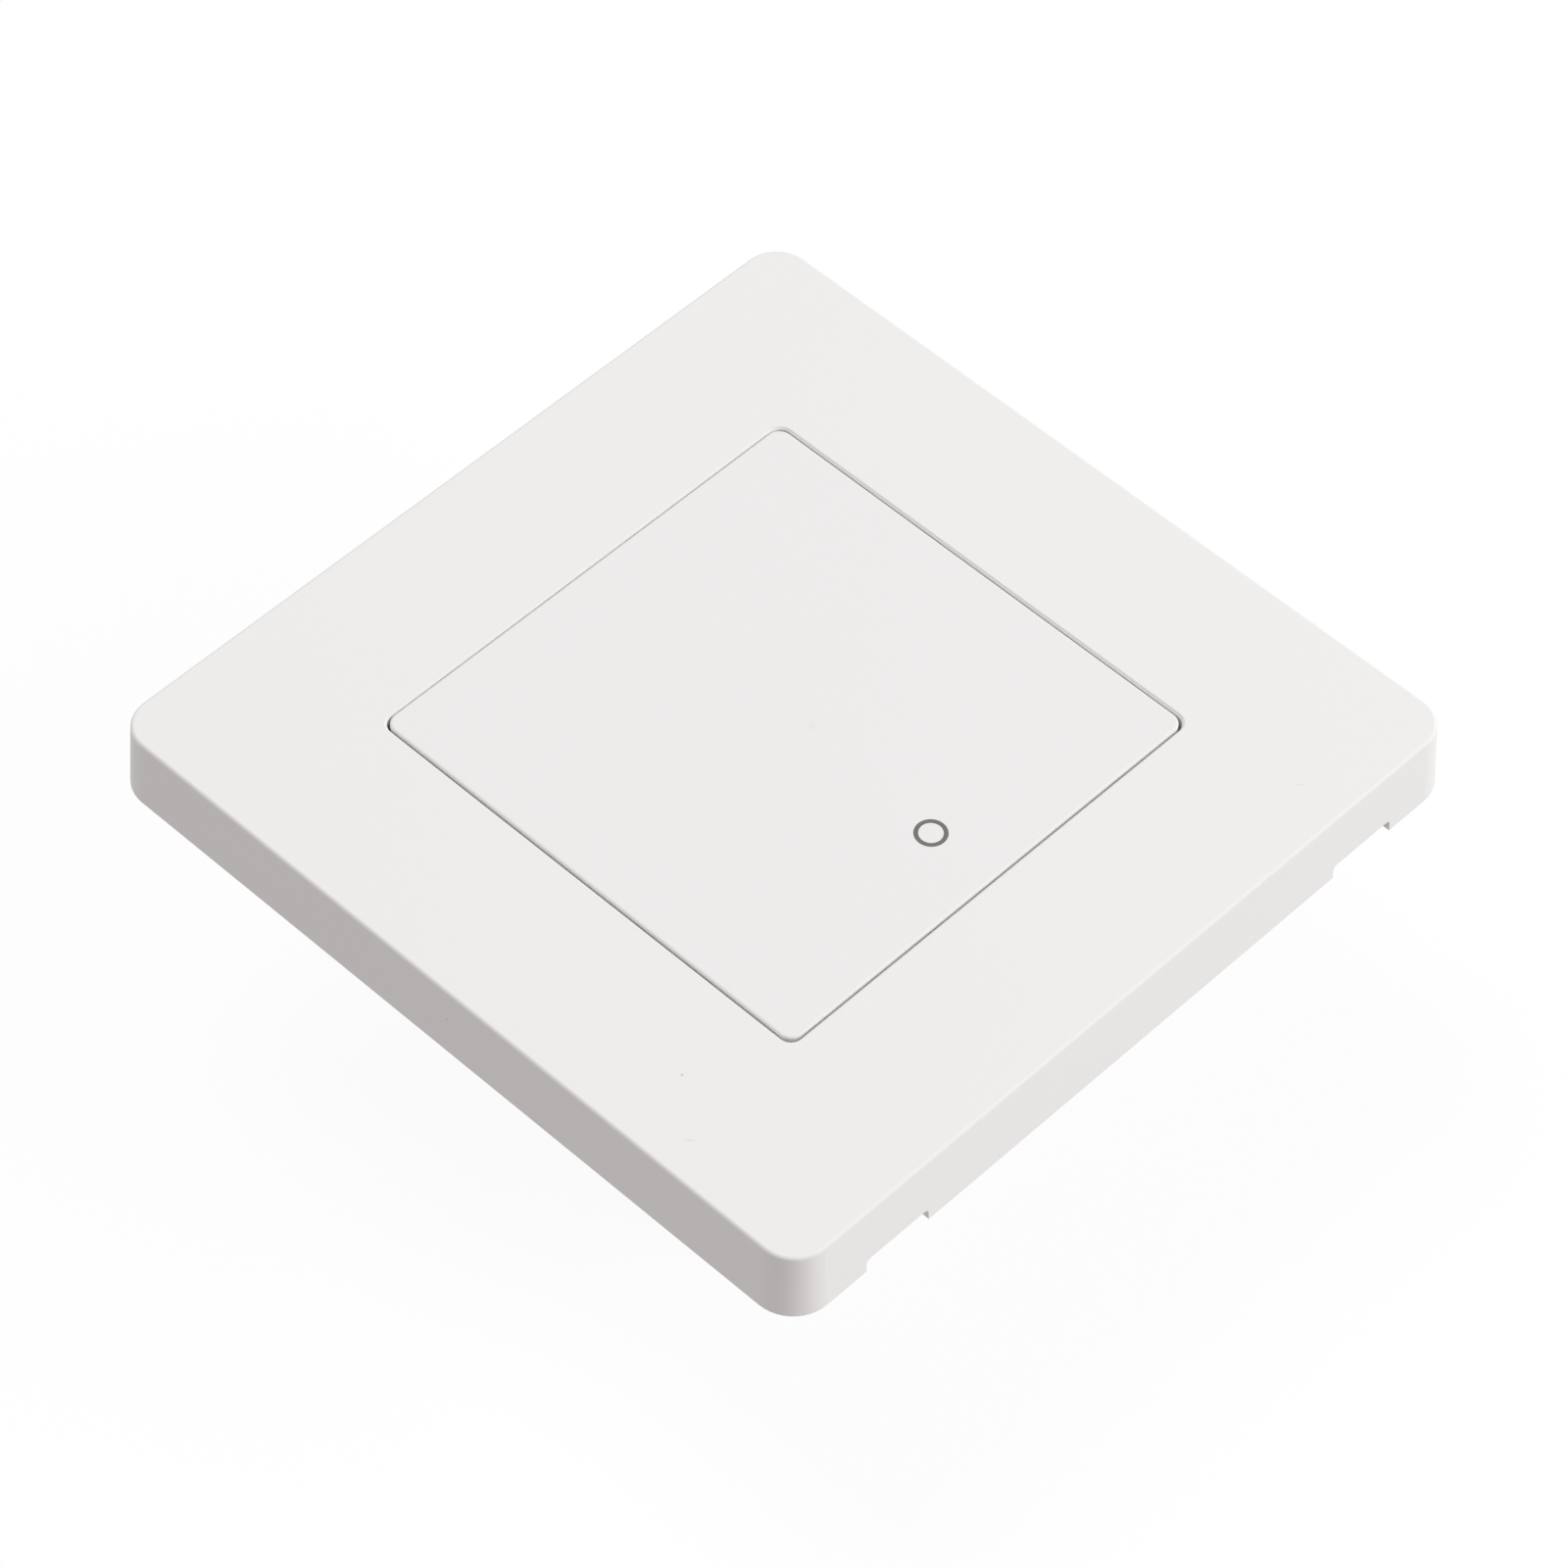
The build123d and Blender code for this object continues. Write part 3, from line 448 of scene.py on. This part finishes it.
def placed(x_axis, y_axis, z_axis, origin):
    """The matrix that puts an object at this origin with these axes."""
    return Matrix(np.vstack([np.column_stack([x_axis, y_axis, z_axis, origin]), [0, 0, 0, 1]]))


back = np.array([math.sin(yaw) * math.cos(tilt), -math.cos(yaw) * math.cos(tilt), math.sin(tilt)])
level = np.array([math.cos(yaw), math.sin(yaw), 0.0])
upright = np.cross(back, level)
right = math.cos(roll) * level + math.sin(roll) * upright
up = math.cos(roll) * upright - math.sin(roll) * level
shift_px = np.array(face_centre_px) - picture_side / 2
face_centre = np.array([0.0, 0.0, cad_high.z])
eye = face_centre + (back * focal_px - right * shift_px[0] + up * shift_px[1]) / px_per_m

camera_data = bpy.data.cameras.new("portrait_camera")
camera_data.sensor_width = 36.0
camera_data.lens = camera_data.sensor_width * focal_px / picture_side
camera_data.clip_start = 0.01
camera = bpy.data.objects.new("portrait_camera", camera_data)
camera.matrix_world = placed(right, up, back, eye)
bpy.context.scene.collection.objects.link(camera)
bpy.context.scene.camera = camera
eye_distance = float(np.linalg.norm(eye - face_centre))
print("camera", round(eye_distance, 3), "m away, lens", round(camera_data.lens, 1), "mm")

# %% [markdown]
# ## Light and floor
# The picture was lit softly and evenly: the plate's lower wall is nearly as bright as its face, its left
# wall is in half shade, and no edge has a hard highlight. A dim sky gives the even part, and two large
# lamps give the rest: one low in front, to the right, and one high behind. The lamps are pale green-blue
# and the sky is a little warm, so that the shaded side looks warmer. More light could turn the background
# white, but it would bleach the plate. Instead, rays that draw the picture see the sky as plain white.

# %% Sky and lamps
scene = bpy.context.scene
scene.view_settings.view_transform = "Standard"
white = (1.0, 1.0, 1.0, 1.0)


def seen_ray(start):
    """1 for a ray that draws the picture, straight, mirrored or through glass, and 0 for any other."""
    seen = start.node("LightPath", out="Is Camera Ray")
    for way in ("Is Glossy Ray", "Is Transmission Ray"):
        seen = start.maths("MAXIMUM", seen, start.node("LightPath", out=way))
    return seen


sky = bpy.data.worlds.new("pale_sky")
sky.use_nodes = True
sky.node_tree.nodes.clear()
start = Strand(sky.node_tree)
dim_sky = start.node("Background", {}, {"Color": (1.0, 0.955, 0.962, 1.0), "Strength": 0.41})
white_sky = start.node("Background", {}, {"Color": white, "Strength": 1.0})
shown_sky = start.node("MixShader", {}, {0: seen_ray(start), 1: dim_sky, 2: white_sky})
start.node("OutputWorld", {}, {"Surface": shown_sky})
scene.world = sky
lamp_colour = (0.967, 1.0, 0.995)


def soft_lamp(name, place, side, power):
    """A square lamp at this place that faces the middle of the plate."""
    data = bpy.data.lights.new(name, "AREA")
    data.size = side
    data.energy = power
    data.color = lamp_colour
    lamp = bpy.data.objects.new(name, data)
    away = np.array(place) - face_centre
    away = away / np.linalg.norm(away)
    flat = np.cross([0.0, 0.0, 1.0], away)
    flat = flat / np.linalg.norm(flat)
    lamp.matrix_world = placed(flat, np.cross(away, flat), away, place)
    scene.collection.objects.link(lamp)
    return lamp


lamps = [
    soft_lamp("front_lamp", (0.95, -1.35, 0.84), 1.0, 21.0),
    soft_lamp("top_lamp", (0.18, 1.58, 3.12), 1.8, 55.0),
]
print("lamps:", [lamp.name for lamp in lamps])

# %% [markdown]
# The floor is where the switch rests on its back. Seen by the camera, or in a reflection, it is white
# paper that keeps the shadow. For all other light it is a grey sheet with a faint glow, as on a light
# table, so that the back isn't black. From below it is clear, and the back can be looked at.

# %% Floor
floor_half = 12.0
floor_gap = 0.05 * mm
glow_share = 0.93
floor_mesh = bpy.data.meshes.new("floor")
floor_corners = floor_half * np.array([[-1, -1, 0], [1, -1, 0], [1, 1, 0], [-1, 1, 0]])
floor_z = cad_low.z - floor_gap
floor_mesh.from_pydata(floor_corners + [0, 0, floor_z], [], [(0, 1, 2, 3)])
floor_material, start = new_material("white_floor")
floor_material.cycles.emission_sampling = "NONE"
grey_paper = start.node("BsdfDiffuse", {}, {"Color": (0.34, 0.325, 0.325, 1.0)})
faint_glow = start.node("Emission", {}, {"Color": (1.0, 0.96, 0.96, 1.0), "Strength": 0.31})
grey_sheet = start.node("AddShader", {}, {0: grey_paper, 1: faint_glow})
white_paper = start.node("BsdfDiffuse", {}, {"Color": white})
glow = start.node("Emission", {}, {"Color": white, "Strength": 1.0})
shown_paper = start.node("MixShader", {}, {0: glow_share, 1: white_paper, 2: glow})
lit_paper = start.node("MixShader", {}, {0: seen_ray(start), 1: grey_sheet, 2: shown_paper})
clear = start.node("BsdfTransparent")
underside = start.node("NewGeometry", out="Backfacing")
one_sided = start.node("MixShader", {}, {0: underside, 1: lit_paper, 2: clear})
start.node("OutputMaterial", {}, {"Surface": one_sided})
floor_mesh.materials.append(floor_material)
floor = bpy.data.objects.new("floor", floor_mesh)
scene.collection.objects.link(floor)
print("floor at", round(floor_z / mm, 2), "mm")
